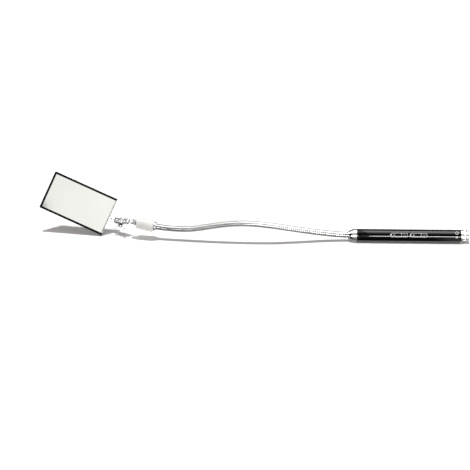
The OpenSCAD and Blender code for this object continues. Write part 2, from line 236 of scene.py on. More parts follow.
def metal(name, colour, smooth, dull, turned_depth=0.0, stretch=(1, 1, 1), scuff=0.08):
    """Metal with cloudy polish, fine scuffs and, if turned_depth is given, lathe marks round z."""
    paint = Paint(name, Metallic=1.0)
    cloud = paint.noise(260, stretch)
    fine = paint.noise(2600, (1, 1, 0.2), detail=2)
    paint.drive("Base Color", paint.colours(cloud, [(0.3, shade(colour, 1 - scuff)), (0.7, colour)]))
    paint.drive("Roughness", paint.spread(cloud, smooth, dull))
    layers = [(fine, 0.004 * MM)]
    if turned_depth:
        layers.append((paint.noise(9000, (0.002, 0.002, 1), detail=3), turned_depth))
    paint.relief(*layers)
    return paint.material


def plastic(name, colour, smooth, dull, index):
    """Moulded plastic with an even colour that drifts a little and a fine grain."""
    paint = Paint(name, IOR=index)
    cloud = paint.noise(120)
    paint.drive("Base Color", paint.colours(cloud, [(0.3, shade(colour, 0.94)), (0.7, colour)]))
    paint.drive("Roughness", paint.spread(paint.noise(400), smooth, dull))
    paint.relief((paint.noise(1500, detail=3), 0.01 * MM))
    return paint.material


def enamel():
    """Glossy black stove enamel: a faint orange peel, specks of dust and hairline handling marks."""
    paint = Paint("black_enamel", IOR=1.2, Coat_Weight=1.0, Coat_Roughness=0.02, Coat_IOR=1.26)
    dust = paint.spread(paint.cells(900), 1, 0, 0.02, 0.07)
    hair = paint.spread(paint.noise(700, (1, 1, 0.03), detail=5), 0, 1, 0.66, 0.74)
    marks = paint.node("ShaderNodeMath", {0: dust, 1: hair}, operation="MAXIMUM").outputs[0]
    paint.drive("Base Color", paint.colours(marks, [(0, (0.002, 0.002, 0.0022)), (1, (0.02, 0.02, 0.021))]))
    paint.drive("Roughness", paint.spread(marks, 0.1, 0.4, 0, 1))
    paint.relief((paint.noise(330, detail=2), 0.004 * MM), (marks, 0.001 * MM))
    return paint.material


def silvered_glass():
    """The mirror's face: silver behind glass, with a trace of haze near some places."""
    paint = Paint("silvered_glass", Metallic=1.0, Coat_Weight=0.3, Coat_Roughness=0.0)
    haze = paint.noise(45, detail=3)
    tones = [(0.35, (0.925, 0.925, 0.905)), (0.7, (0.95, 0.952, 0.94))]
    paint.drive("Base Color", paint.colours(haze, tones))
    paint.drive("Roughness", paint.spread(paint.noise(90, detail=6), 0.004, 0.02, 0.4, 0.75))
    return paint.material


def hood_white():
    """Translucent white sleeve, a little cloudy, with fine flow lines."""
    paint = Paint(
        "hood_white", IOR=1.46, Subsurface_Weight=0.55, Subsurface_Scale=2.2 * MM,
        Subsurface_Radius=(1.0, 0.98, 0.94), Coat_Weight=0.25, Coat_Roughness=0.12,
    )
    cloud = paint.noise(150, (1, 1, 0.4), detail=3)
    paint.drive("Base Color", paint.colours(cloud, [(0.3, (0.76, 0.76, 0.73)), (0.7, (0.83, 0.83, 0.8))]))
    paint.drive("Roughness", paint.spread(paint.noise(500), 0.26, 0.42))
    paint.relief((paint.noise(420, (1, 1, 0.1), detail=3), 0.01 * MM))
    return paint.material


def patterned(name, pattern, tones, gloss, depth, bumps=None, **sockets):
    """A material whose tones, gloss and relief follow one pattern. bumps, if given, shape the relief."""
    paint = Paint(name, **sockets)
    source = pattern(paint)
    paint.drive("Base Color", paint.colours(source, tones))
    paint.drive("Roughness", paint.spread(source, *gloss))
    paint.relief((bumps(paint) if bumps else source, depth))
    return paint.material


CHROME = (0.8, 0.8, 0.805)
SATIN = (0.62, 0.615, 0.6)
PAINTS = {
    "enamel": enamel(),
    "mirror": silvered_glass(),
    "hood": hood_white(),
    # glossy black moulding with faint rub marks
    "rim": patterned(
        "rim_black", lambda paint: paint.noise(500, (0.15, 1, 1), detail=6),
        [(0.45, grey(0.002)), (0.75, grey(0.008))], (0.12, 0.34, 0.4, 0.75), 0.004 * MM,
        lambda paint: paint.noise(900, detail=2), IOR=1.22,
    ),
    # the ground edge of float glass, green and matt
    "glass_edge": patterned(
        "glass_edge", lambda paint: paint.noise(3000, (1, 1, 6)),
        [(0.3, (0.36, 0.47, 0.42)), (0.7, (0.55, 0.66, 0.6))], (0.25, 0.5), 0.01 * MM,
        IOR=1.5, Subsurface_Weight=0.2, Subsurface_Scale=0.5 * MM,
    ),
    # the lamp's clear epoxy with a few tiny bubbles
    "epoxy": patterned(
        "clear_epoxy", lambda paint: paint.spread(paint.cells(2500), 1, 0, 0.05, 0.12),
        [(0, (0.97, 0.985, 1.0)), (1, (0.8, 0.83, 0.86))], (0.01, 0.12, 0, 1), 0.002 * MM,
        IOR=1.5, Transmission_Weight=1.0,
    ),
    # the yellow disc that turns the lamp's blue light white
    "phosphor": patterned(
        "phosphor", lambda paint: paint.noise(6000),
        [(0.3, (0.8, 0.72, 0.38)), (0.7, (0.88, 0.83, 0.55))], (0.5, 0.7), 0.01 * MM,
        Subsurface_Weight=0.3, Subsurface_Scale=0.3 * MM,
    ),
    # light grey screen print, slightly broken up
    "ink": patterned(
        "printed_ink", lambda paint: paint.noise(1800, detail=5),
        [(0.28, grey(0.3)), (0.42, (0.72, 0.72, 0.71))], (0.55, 0.35), 0.003 * MM, IOR=1.45,
    ),
    # wound paper tube with fibres
    "paper": patterned(
        "waxed_paper", lambda paint: paint.noise(900, (1, 1, 0.15), detail=8),
        [(0.3, (0.62, 0.55, 0.4)), (0.7, (0.82, 0.76, 0.6))], (0.5, 0.75), 0.03 * MM, IOR=1.4,
    ),
    # black rubber with bloom
    "rubber": patterned(
        "black_rubber", lambda paint: paint.noise(700, detail=6),
        [(0.35, grey(0.012)), (0.75, grey(0.05))], (0.45, 0.7), 0.01 * MM,
        lambda paint: paint.noise(4000), IOR=1.5,
    ),
    # grey adhesive foam with open cells
    "foam": patterned(
        "pad_foam", lambda paint: paint.cells(2200),
        [(0, grey(0.02)), (0.5, (0.13, 0.13, 0.125))], (0.8, 0.95, 0, 0.5), 0.12 * MM, IOR=1.4,
    ),
    "chrome": metal("chrome", CHROME, 0.03, 0.1, turned_depth=0.002 * MM),
    "neck_band": metal("neck_band", CHROME, 0.04, 0.1, scuff=0.15),
    # the core wire between the neck's turns is painted near-black grey: painted shade in the gaps between the
    # bands
    "neck_core_painted_shade": metal("neck_core_painted_shade", grey(0.12), 0.2, 0.4, scuff=0.3),
    "satin": metal("satin_nickel", SATIN, 0.28, 0.4, turned_depth=0.012 * MM),
    "stamped": metal("stamped_chrome", grey(0.7), 0.08, 0.24, stretch=(0.3, 1, 1), scuff=0.14),
    "back": metal("rolled_plate", (0.6, 0.61, 0.62), 0.26, 0.42, stretch=(0.06, 1, 1), scuff=0.12),
    "brass": metal("brass", (0.83, 0.62, 0.28), 0.16, 0.3, turned_depth=0.01 * MM, scuff=0.2),
    "wire": metal("drawn_wire", grey(0.7), 0.18, 0.32, scuff=0.18),
    "can": metal("cell_can", (0.66, 0.67, 0.69), 0.2, 0.34, turned_depth=0.006 * MM),
    "sleeve": plastic("cell_sleeve", (0.16, 0.2, 0.24), 0.2, 0.32, 1.45),
    "white_plastic": plastic("white_plastic", (0.84, 0.84, 0.82), 0.3, 0.45, 1.46),
    "insulation": plastic("red_insulation", (0.5, 0.03, 0.025), 0.35, 0.5, 1.46),
}


# ---------------------------------------------------------------- shells: (points, faces) in a local frame
def rounded(corners, ease, closed=True, steps=4):
    """An outline whose corners are eased. A corner is (a, b), or (a, b, its own ease)."""
    count = len(corners)
    line = []
    for i, corner in enumerate(corners):
        here = Vector(corner[:2])
        radius = corner[2] if len(corner) > 2 else ease
        if not closed and i in (0, count - 1) or radius == 0:
            line.append(tuple(here))
            continue
        before = Vector(corners[i - 1][:2]) - here
        after = Vector(corners[(i + 1) % count][:2]) - here
        reach = min(radius, 0.45 * before.length, 0.45 * after.length)
        start = here + before.normalized() * reach
        end = here + after.normalized() * reach
        for k in range(steps + 1):
            t = k / steps
            line.append(tuple(start * (1 - t) ** 2 + here * 2 * t * (1 - t) + end * t * t))
    return line


def turned(outline, segments=96, shape=None):
    """An outline of (z, r) spun round z: from axis to axis, or a closed ring. shape(z, r, angle) bends r."""
    solid = outline[0][1] == 0
    rows = outline[1:-1] if solid else outline
    points = []
    for z, r in rows:
        for k in range(segments):
            angle = 2 * math.pi * k / segments
            reach = shape(z, r, angle) if shape else r
            points.append((reach * math.cos(angle), reach * math.sin(angle), z))
    count = len(rows)
    faces = []
    for i in range(count - 1 if solid else count):
        a, b = i * segments, (i + 1) % count * segments
        for k in range(segments):
            n = (k + 1) % segments
            faces.append((a + k, a + n, b + n, b + k))
    if solid:
        first, last = len(points), len(points) + 1
        points += [(0, 0, outline[0][0]), (0, 0, outline[-1][0])]
        end = (count - 1) * segments
        for k in range(segments):
            n = (k + 1) % segments
            faces += [(first, n, k), (last, end + k, end + n)]
    return points, faces


def skinned(rings):
    """A closed skin through rings with equal numbers of points, capped at both ends."""
    size = len(rings[0])
    points = [tuple(point) for ring in rings for point in ring]
    faces = []
    for i in range(len(rings) - 1):
        a, b = i * size, (i + 1) * size
        for k in range(size):
            n = (k + 1) % size
            faces.append((a + k, a + n, b + n, b + k))
    faces.append(tuple(range(size - 1, -1, -1)))
    faces.append(tuple(range(len(points) - size, len(points))))
    return points, faces


def disc(x, y, radius, segments=48):
    """A round loop."""
    turn = 2 * math.pi / segments
    return [(x + radius * math.cos(k * turn), y + radius * math.sin(k * turn)) for k in range(segments)]


def stamped(loops, low, high, ease):
    """A plate between two heights with eased edges. The first loop is its outline, the others are holes."""
    plate = bmesh.new()
    edges = []
    for loop in loops:
        corners = [plate.verts.new(Vector((x, y, low)) * MM) for x, y in loop]
        edges += [plate.edges.new((a, b)) for a, b in zip(corners, corners[1:] + corners[:1])]
    filled = bmesh.ops.triangle_fill(plate, use_beauty=True, edges=edges)
    faces = [item for item in filled["geom"] if isinstance(item, bmesh.types.BMFace)]
    raised = bmesh.ops.extrude_face_region(plate, geom=faces, use_keep_orig=True)
    for item in raised["geom"]:
        if isinstance(item, bmesh.types.BMVert):
            item.co.z = high * MM
    bmesh.ops.recalc_face_normals(plate, faces=plate.faces)
    sharp = [edge for edge in plate.edges if edge.is_manifold and edge.calc_face_angle() > math.radians(60)]
    bmesh.ops.bevel(plate, geom=sharp, offset=ease * MM, segments=3, profile=0.5, affect="EDGES")
    plate.verts.index_update()
    points = [tuple(vertex.co / MM) for vertex in plate.verts]
    faces = [[vertex.index for vertex in face.verts] for face in plate.faces]
    plate.free()
    return points, faces


def moved(shell, matrix):
    points, faces = shell
    return [tuple(matrix @ Vector(point)) for point in points], faces


# ---------------------------------------------------------------- pieces
def mesh_of(name, shells, sharp=38):
    """One mesh of closed shells, smooth but for sharp edges. A shell's third item numbers its material."""
    points, faces, numbers = [], [], []
    for shell in shells:
        first = len(points)
        points += [Vector(point) * MM for point in shell[0]]
        faces += [[first + i for i in face] for face in shell[1]]
        numbers += [shell[2] if len(shell) > 2 else 0] * len(shell[1])
    mesh = bpy.data.meshes.new(name)
    mesh.from_pydata(points, [], faces)
    mesh.polygons.foreach_set("material_index", numbers)
    work = bmesh.new()
    work.from_mesh(mesh)
    bmesh.ops.recalc_face_normals(work, faces=work.faces)
    work.to_mesh(mesh)
    work.free()
    mesh.shade_smooth()
    mesh.set_sharp_from_angle(angle=math.radians(sharp))
    return mesh


def linked(name, data):
    """An object in the scene for a mesh, a lamp or a camera."""
    made = bpy.data.objects.new(name, data)
    bpy.context.scene.collection.objects.link(made)
    return made


def shown(name, mesh, place, paints):
    """An object for a mesh, with its materials, in its local frame."""
    for paint in paints:
        mesh.materials.append(PAINTS[paint])
    piece = linked(name, mesh)
    piece.matrix_world = place
    return piece


def fitted(name, shells, place, body, paints, stands_for=(), sharp=38):
    """A rigid piece on a body, from closed shells or a finished mesh."""
    mesh = shells if isinstance(shells, bpy.types.Mesh) else mesh_of(name, shells, sharp)
    piece = shown(name, mesh, place, paints)
    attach(piece, body)
    if stands_for:
        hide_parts(*stands_for)
    return piece


def with_modifiers(name, shells, settings, sharp=38):
    """The mesh that closed shells give after modifiers of (kind, settings) are applied."""
    scratch = linked("scratch", mesh_of("scratch", shells, sharp))
    for kind, values in settings:
        modifier = scratch.modifiers.new(kind, kind)
        for key, value in values.items():
            setattr(modifier, key, value)
    graph = bpy.context.evaluated_depsgraph_get()
    mesh = bpy.data.meshes.new_from_object(scratch.evaluated_get(graph))
    mesh.name = name
    bpy.data.objects.remove(scratch)
    mesh.shade_smooth()
    mesh.set_sharp_from_angle(angle=math.radians(sharp))
    return mesh


def cut_away(name, shells, cutter_shells):
    """Closed shells with others cut out of them."""
    cutter = linked("cutter", mesh_of("cutter", cutter_shells))
    mesh = with_modifiers(name, shells, [("BOOLEAN", {"object": cutter, "solver": "EXACT"})])
    bpy.data.objects.remove(cutter)
    return mesh


# ---------------------------------------------------------------- handle
barrel_low, barrel_high = extent("barrel", HANDLE)
BARREL_R = barrel_high.y
BARREL_BORE_R = BARREL_R - 0.6
FRONT = barrel_low.z
REAR = barrel_high.z


def make_barrel():
    """The enamelled tube with eased lips and a fine roll groove at each end."""
    groove = 0.12
    groove_at = 1.6
    corners = [(FRONT, BARREL_BORE_R), (FRONT, BARREL_R, 0.3)]
    for at in (FRONT + groove_at, REAR - groove_at):
        corners += [(at - groove, BARREL_R), (at, BARREL_R - groove), (at + groove, BARREL_R)]
    corners += [(REAR, BARREL_R, 0.3), (REAR, BARREL_BORE_R)]
    outline = rounded(corners, 0.08)
    fitted("barrel_tube", [turned(outline, 160)], HANDLE, "handle", ["enamel"], ["barrel"])


def inked(strokes):
    """Thin raised print round the barrel. A stroke is its two sides, as points of (along, arc)."""
    lift = 0.02
    shells = []
    for left, right in strokes:
        rings = []
        for a, b in zip(left, right):
            ring = []
            for (along, arc), radius in ((a, -lift), (b, -lift), (b, lift), (a, lift)):
                angle = arc / BARREL_R
                reach = BARREL_R + radius
                ring.append((reach * math.cos(angle), reach * math.sin(angle), along))
            rings.append(ring)
        shells.append(skinned(rings))
    return shells


def bar(x0, x1, arc0, arc1):
    """A straight stroke of the print, cut into short steps round the barrel."""
    longest = 0.3
    steps = max(2, math.ceil(abs(arc1 - arc0) / longest))
    arcs = [arc0 + (arc1 - arc0) * k / steps for k in range(steps + 1)]
    return [(x0, arc) for arc in arcs], [(x1, arc) for arc in arcs]


def loop(x, arc, outer, inner, turns=40):
    """A ring of the print."""
    angles = [2 * math.pi * k / turns for k in range(turns + 1)]
    sides = [[(x + r * math.cos(a), arc + r * math.sin(a)) for a in angles] for r in (outer, inner)]
    return sides[0], sides[1]


def make_print():
    """Generic marks: two battery cells with their poles in line, and a ring over a dot by the switch."""
    facing = math.radians(180 + 62) * BARREL_R
    line = 0.35
    cell_l, cell_h = 16.5, 4.4
    nub_l = 1.1
    gap = 1.3
    sign_at = 3
    half_sign = 0.85
    top, foot = facing + cell_h / 2, facing - cell_h / 2
    level = facing - line / 2, facing + line / 2
    upright = facing - half_sign, facing + half_sign
    strokes = []
    for start in (-cell_l - gap / 2 - nub_l, gap / 2 + nub_l):
        end = start + cell_l
        plus, minus, split = start + sign_at, end - sign_at, start + 0.62 * cell_l
        strokes += [
            bar(start, end, top - line, top), bar(start, end, foot, foot + line),
            bar(start, start + line, foot, top), bar(end - line, end, foot, top),
            bar(start - nub_l, start, *upright), bar(plus - half_sign, plus + half_sign, *level),
            bar(plus - line / 2, plus + line / 2, *upright),
            bar(minus - half_sign, minus + half_sign, *level), bar(split, split + line, foot, top),
        ]
    mark_at = REAR - 4.6
    dot_radii = [1.2, 0.8, 0.4, 0.02]
    strokes.append(loop(mark_at, facing - 2.7, 1.7, 1.2))
    strokes += [loop(mark_at, facing + 1.8, outer, inner) for outer, inner in zip(dot_radii, dot_radii[1:])]
    fitted("barrel_print", inked(strokes), HANDLE, "handle", ["ink"])


def make_front_ring():
    """Satin ring with two fine grooves, a chamfered mouth and the spigot inside the barrel."""
    low, high = extent("front_ring", HANDLE)
    ring_r = high.y
    hole_r = 4
    spigot_r = BARREL_BORE_R - 0.02
    seat = FRONT - 0.01
    corners = [(low.z, hole_r), (low.z, ring_r, 0.45)]
    for at in (low.z + 1.3, low.z + 3.3):
        corners += [(at - 0.2, ring_r), (at, ring_r - 0.22), (at + 0.2, ring_r)]
    corners += [(seat, ring_r, 0.2), (seat, spigot_r, 0), (high.z, spigot_r), (high.z, hole_r)]
    shells = [turned(rounded(corners, 0.08), 128)]
    fitted("satin_front_ring", shells, HANDLE, "handle", ["satin"], ["front_ring"])


def make_rear_collar():
    """Chrome collar flared towards the handle, with a bead at its mouth and a flange."""
    low, high = extent("rear_collar", HANDLE)
    flange_end = extent("front_ring", HANDLE)[0].z
    seat = flange_end - 0.01
    flange_r = high.y
    mouth_r = flange_r - 0.6
    bore_r = 3.05
    spigot_r = 3.98
    corners = [
        (low.z, bore_r), (low.z, mouth_r - 0.3, 0.2), (low.z + 0.45, mouth_r, 0.25),
        (low.z + 0.9, mouth_r - 0.25, 0.25), (flange_end - 1.2, flange_r - 0.25, 0.2),
        (flange_end - 0.9, flange_r, 0.2), (seat, flange_r, 0.12),
        (seat, spigot_r, 0), (high.z, spigot_r), (high.z, bore_r),
    ]
    shells = [turned(rounded(corners, 0.1), 128)]
    fitted("chrome_rear_collar", shells, HANDLE, "handle", ["chrome"], ["rear_collar"])


def make_tail_cap():
    """Twist switch: rim, fluted waist, domed end, and a threaded spigot with the seal's groove."""
    low, high = extent("tail_cap", HANDLE)
    rim_r = high.y
    waist_r = 5.55
    dome_r = 5.9
    spigot_r = BARREL_BORE_R - 0.05
    room_r = 4.2
    seal_r = 4.75
    room_end = REAR + 3
    seat = REAR + 0.01
    rim_end = REAR + 2.6
    waist_end = rim_end + 3
    waist_middle = (rim_end + waist_end) / 2
    thread_start, thread_end = low.z + 0.3, REAR - 2.6
    thread_l = thread_end - thread_start
    pitch = 1.25
    thread_depth = 0.3
    flutes = 18
    flute_depth = 0.42
    rows = 26
    inner = [(room_end, 0), (room_end, room_r), (low.z, room_r), (low.z, spigot_r - thread_depth)]
    thread = [(thread_start + thread_l * k / rows, spigot_r) for k in range(rows + 1)]
    outer = [
        thread[-1], (REAR - 2.2, spigot_r), (REAR - 2.2, seal_r), (REAR - 1.1, seal_r),
        (REAR - 1.1, spigot_r), (seat, spigot_r), (seat, rim_r, 0.2), (rim_end, rim_r, 0.35),
        (rim_end + 0.15, waist_r, 0.2), (waist_end - 0.1, waist_r, 0.2), (waist_end, dome_r, 0.2),
        (high.z - 1.25, dome_r - 0.1, 0.5), (high.z - 0.35, dome_r * 0.62, 1.5), (high.z, 0),
    ]
    outline = rounded(inner, 0.1, False) + thread + rounded(outer, 0.08, False, steps=6)[1:]
    flat = next(i for i, (z, r) in enumerate(outline) if z > rim_end + 0.3 and abs(r - waist_r) < 0.001)
    outline[flat:flat + 1] = [(rim_end + 0.4 + 0.22 * k, waist_r) for k in range(11)]

    def shape(z, r, angle):
        if thread_start < z < thread_end and r > spigot_r - 0.05:
            turn = (z / pitch - angle / (2 * math.pi)) % 1
            return r - thread_depth * (1 - abs(2 * turn - 1)) ** 0.8
        if abs(z - waist_middle) < 1.35 and abs(r - waist_r) < 0.1:
            return r - flute_depth * max(0.0, math.cos(flutes * angle)) ** 1.5
        return r

    shells = [turned(outline, 216, shape)]
    fitted("fluted_tail_cap", shells, HANDLE, "tail_cap", ["satin"], ["tail_cap"], sharp=45)


def make_seal():
    """The rubber ring in the cap's groove."""
    low, high = extent("tail_o_ring", HANDLE)
    wire = (high.z - low.z) / 2
    ring_r = high.y - wire
    middle = (high.z + low.z) / 2
    ring = turned(disc(middle, ring_r, wire, 20), 96)
    fitted("seal_ring", [ring], HANDLE, "tail_seal", ["rubber"], ["tail_o_ring"])


def make_spring():
    """Compression spring with a closed coil at each end."""
    low, high = extent("battery_spring", HANDLE)
    wire = 0.35
    coil_r = high.y - wire
    start, end = low.z + wire, high.z - wire
    turns, steps, sides = 6.5, 32, 12
    closed, closed_pitch, closed_l = 0.9, 0.68, 1.22
    count = round(turns * steps)
    rings = []
    for k in range(count + 1):
        turn = k / steps
        open_share = min(max((turn - closed) / (turns - 2 * closed), 0), 1)
        closed_turns = min(turn, closed) + max(turn - turns + closed, 0)
        z = start + closed_pitch * closed_turns + (end - start - closed_l) * open_share
        angle = 2 * math.pi * turn
        ring = []
        for across, along in disc(0, 0, wire, sides):
            reach = coil_r + across
            ring.append((reach * math.cos(angle), reach * math.sin(angle), z + along))
        rings.append(ring)
    spring = skinned(rings)
    fitted("wound_spring", [spring], HANDLE, "tail_seal", ["wire"], ["battery_spring"])


def make_cells():
    """Two AAA cells: rolled can, shrink sleeve that leaves the ends bare, crimped shoulder and terminal."""
    nub_r = 1.9
    for node in ("battery_front", "battery_rear"):
        low, high = extent(node, HANDLE)
        r = high.y
        body = low.z + 1
        can = [
            (low.z, 0), (low.z, nub_r, 0.25), (body - 0.2, nub_r, 0.1), (body - 0.2, 2.6), (body + 0.1, 3.2),
            (body + 0.1, r - 0.5, 0.3), (body + 0.5, r - 0.15, 0.3), (high.z - 0.4, r - 0.15, 0.3),
            (high.z - 0.02, r - 0.8), (high.z, 3.4), (high.z, 0),
        ]
        skin = [
            (body + 0.15, r - 0.14), (body, r - 0.9), (body - 0.06, r - 0.8), (body + 0.1, r, 0.4),
            (high.z - 0.25, r, 0.4), (high.z, r - 0.7), (high.z - 0.1, r - 0.7), (high.z - 0.5, r - 0.14),
        ]
        shells = [turned(rounded(can, 0.12, False), 72), (*turned(rounded(skin, 0.05), 72), 1)]
        fitted(f"{node}_cell", shells, HANDLE, "handle", ["can", "sleeve"], [node])


# ---------------------------------------------------------------- neck
class Route:
    """A smooth curve through points, read by the distance along it."""

    def __init__(self, knots, step=0.25):
        self.points = []
        for i in range(1, len(knots) - 2):
            a, b, c, d = knots[i - 1:i + 3]
            count = math.ceil((c - b).length / step)
            for k in range(count):
                t = k / count
                bend = (2 * a - 5 * b + 4 * c - d) * t ** 2 + (3 * b - a - 3 * c + d) * t ** 3
                self.points.append(0.5 * (2 * b + (c - a) * t + bend))
        self.points.append(knots[-2])
        self.runs = [0.0]
        for a, b in zip(self.points, self.points[1:]):
            self.runs.append(self.runs[-1] + (b - a).length)
        self.length = self.runs[-1]

    def run_at(self, point):
        """How far along the curve it is nearest to a point."""
        nearest = min(range(len(self.points)), key=lambda i: (self.points[i] - point).length_squared)
        return self.runs[nearest]

    def at(self, run):
        """The point at a distance along the curve, and its up, side and way on."""
        last = len(self.points) - 1
        i = min(max(int(run / self.length * last), 0), last - 1)
        while i > 0 and self.runs[i] > run:
            i -= 1
        while i < last - 1 and self.runs[i + 1] < run:
            i += 1
        t = (run - self.runs[i]) / (self.runs[i + 1] - self.runs[i])
        way = (self.points[min(i + 2, last)] - self.points[max(i - 1, 0)]).normalized()
        up = WORLD_Y.cross(way).normalized()
        return self.points[i].lerp(self.points[i + 1], t), up, way.cross(up), way


def wire_along(route, start, end, section, turn_start, pitch, steps=24):
    """A wire wound on the route between two distances. Its section is a loop of (along, radius)."""
    count = math.ceil((end - start) / pitch * steps)
    rings = []
    for k in range(count + 1):
        run = start + (end - start) * k / count
        at, up, side, way = route.at(run)
        angle = 2 * math.pi * (run / pitch + turn_start)
        out = up * math.cos(angle) + side * math.sin(angle)
        rings.append([at + way * along + out * radius for along, radius in section])
    return skinned(rings)


def make_neck():
    """Gooseneck of two wires, a domed band and a round core between its turns, in a piece for each joint. The
    core is painted near-black, as painted shade in the gaps between the turns.
    """
    pitch = 2.1
    neck_r = 3
    band_half = 0.74
    band_t = 0.95
    ridge_half = 0.15
    crown = 0.16
    core_r = 0.5
    core_at = neck_r - 0.64
    past_end = 12
    rigid_share = 0.08
    band = [(band_half * t, neck_r - crown * t ** 4) for t in (-1, -0.8, -0.5, 0, 0.5, 0.8, 1)]
    band += [(ridge_half, neck_r - band_t), (-ridge_half, neck_r - band_t)]
    core = disc(0, core_at, core_r, 8)

    rear_end = extent("neck_end_rear", HANDLE)[1].z * WORLD_X
    front_end = HEAD @ Vector((0, 0, extent("neck_end_front", HEAD)[1].z * MM)) / MM
    hinges = [Vector(joint["pos_m"]) / MM for joint in NECK]
    beyond = front_end + (front_end - hinges[-1]).normalized() * past_end
    route = Route([rear_end + WORLD_X * past_end, rear_end, *hinges, front_end, beyond])
    runs = [route.run_at(point) for point in hinges]
    middles = [(a + b) / 2 for a, b in zip(runs, runs[1:])]
    cuts = [0.0, *middles, route.length]
    nodes = {0: ["neck_end_rear"], len(NECK) - 1: ["neck_17", "neck_end_front"]}
    for i, joint in enumerate(NECK):
        start, end = cuts[i], cuts[i + 1]
        shells = [
            wire_along(route, start, end, band, 0, pitch),
            # the core shell takes the near-black paint, which is painted shade between the turns
            (*wire_along(route, start, end, core, 0.5, pitch), 1),
        ]
        mesh = mesh_of("neck_coil", shells, 50)
        piece = shown(f"neck_coil_{i + 1:02d}", mesh, Matrix.Identity(4), ["neck_band", "neck_core_painted_shade"])
        near = min(i, len(middles) - 1)
        reach = route.at(runs[i])[3] * (middles[near] - runs[near]) * (1 - rigid_share)
        start, end = (hinges[i] - reach) * MM, (hinges[i] + reach) * MM
        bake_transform(piece)
        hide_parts(*nodes.get(i, [f"neck_{i:02d}"]))


# ---------------------------------------------------------------- lamp head
def make_ferrule():
    """Chrome ferrule with a rolled front bead and a waist."""
    low, high = extent("front_ferrule", HEAD)
    r = high.y
    bore_r = 3.05
    spigot_r = 3.9
    face = low.z + 2.1
    corners = [
        (low.z, bore_r), (low.z, r - 0.5, 0.25), (low.z + 0.5, r - 0.1, 0.25), (low.z + 0.9, r - 0.45, 0.2),
        (low.z + 1.25, r, 0.25), (face, r, 0.2), (face, spigot_r, 0), (high.z, spigot_r), (high.z, bore_r),
    ]
    shells = [turned(rounded(corners, 0.1), 96)]
    fitted("chrome_ferrule", shells, HEAD, "lamp_head", ["chrome"], ["front_ferrule"])


def make_hood():
    """Tapered translucent sleeve with soft lips and a shallow step near its rear."""
    low, high = extent("lamp_hood", HEAD)
    bore_r = 5
    rear_r = high.y
    taper = 0.7
    front_r = rear_r - taper
    step_z, groove = low.z + 2.4, 0.12
    step_r = rear_r - taper * 2.4 / 17
    corners = [
        (low.z, bore_r), (low.z, rear_r, 0.5),
        (step_z, step_r, groove), (step_z + groove, step_r - groove, groove),
        (high.z - 1.2, front_r + 0.02, 1), (high.z, front_r - 0.15, 0.45), (high.z, bore_r, 0.3),
    ]
    shells = [turned(rounded(corners, 0.2, steps=6), 128)]
    fitted("hood_sleeve", shells, HEAD, "lamp_head", ["hood"], ["lamp_hood"])


def on_own_axis(node):
    """The lamp head's frame, moved sideways to a node's own axis."""
    low, high = extent(node, HEAD)
    return HEAD @ Matrix.Translation(Vector((low.x + high.x, low.y + high.y, 0)) / 2 * MM)


def make_led():
    """Clear 5 mm lamp with a flange and a flat, its reflector cup and post, and its chrome bezel."""
    place = on_own_axis("led_lamp")
    low, high = extent("led_lamp", HEAD)
    flange_r = (high.x - low.x) / 2
    flange_z = low.z + 1
    flat_at = 2.55
    body_r = flange_r - 0.3
    dome_z = high.z - body_r
    body = [
        (low.z, 0), (low.z, flange_r, 0.1), (flange_z, flange_r, 0.1), (flange_z, body_r), (dome_z, body_r),
    ]
    rises = [math.pi / 2 * k / 14 for k in range(14)]
    dome = [(dome_z + body_r * math.sin(rise), body_r * math.cos(rise)) for rise in rises]

    def flat(z, r, angle):
        return min(r, flat_at / max(math.cos(angle), 0.1)) if z < flange_z + 0.05 else r

    lamp = turned([*rounded(body, 0.1, False)[:-1], *dome, (high.z, 0)], 72, flat)
    fitted("clear_lamp", [lamp], place, "lamp_head", ["epoxy"], ["led_lamp"])

    foot_z, cup_z = low.z + 0.4, dome_z - 0.6
    cup = [
        (foot_z, 0), (foot_z, 0.45), (cup_z - 0.9, 0.45), (cup_z - 0.5, 1.15), (cup_z, 1.3), (cup_z, 1.15),
        (cup_z - 0.35, 0.6), (cup_z - 0.35, 0),
    ]
    post = [(foot_z, 0), (foot_z, 0.3), (cup_z - 0.1, 0.3), (cup_z, 0)]
    lens = [
        (cup_z - 0.34, 0), (cup_z - 0.34, 0.6), (cup_z - 0.05, 1.1), (cup_z + 0.05, 0.5), (cup_z + 0.08, 0),
    ]
    shells = [
        turned(rounded(cup, 0.05, False), 40),
        moved(turned(rounded(post, 0.05, False), 16), Matrix.Translation((0, 1.75, 0))),
        (*turned(rounded(lens, 0.05, False), 40), 1),
    ]
    fitted("lamp_cup_and_post", shells, place, "lamp_head", ["wire", "phosphor"])

    seat, face = extent("led_bezel", HEAD)
    outer, inner = (face.x - seat.x) / 2, body_r + 0.04
    corners = [
        (seat.z, inner), (seat.z, outer), (face.z, outer, 0.25), (face.z - 0.05, inner + 0.12, 0.1),
        (face.z - 0.4, inner),
    ]
    ring = turned(rounded(corners, 0.08), 72)
    fitted("lamp_bezel_ring", [ring], place, "lamp_head", ["chrome"], ["led_bezel"])


def ball_cup(ball_z, hollow_r, reach, steps=5):
    """Outline points of a rod's end that is hollowed to fit a ball, from its rim to its axis."""
    radii = [reach * (1 - k / steps) for k in range(steps + 1)]
    return [(ball_z - math.sqrt(hollow_r ** 2 - r ** 2), r) for r in radii]


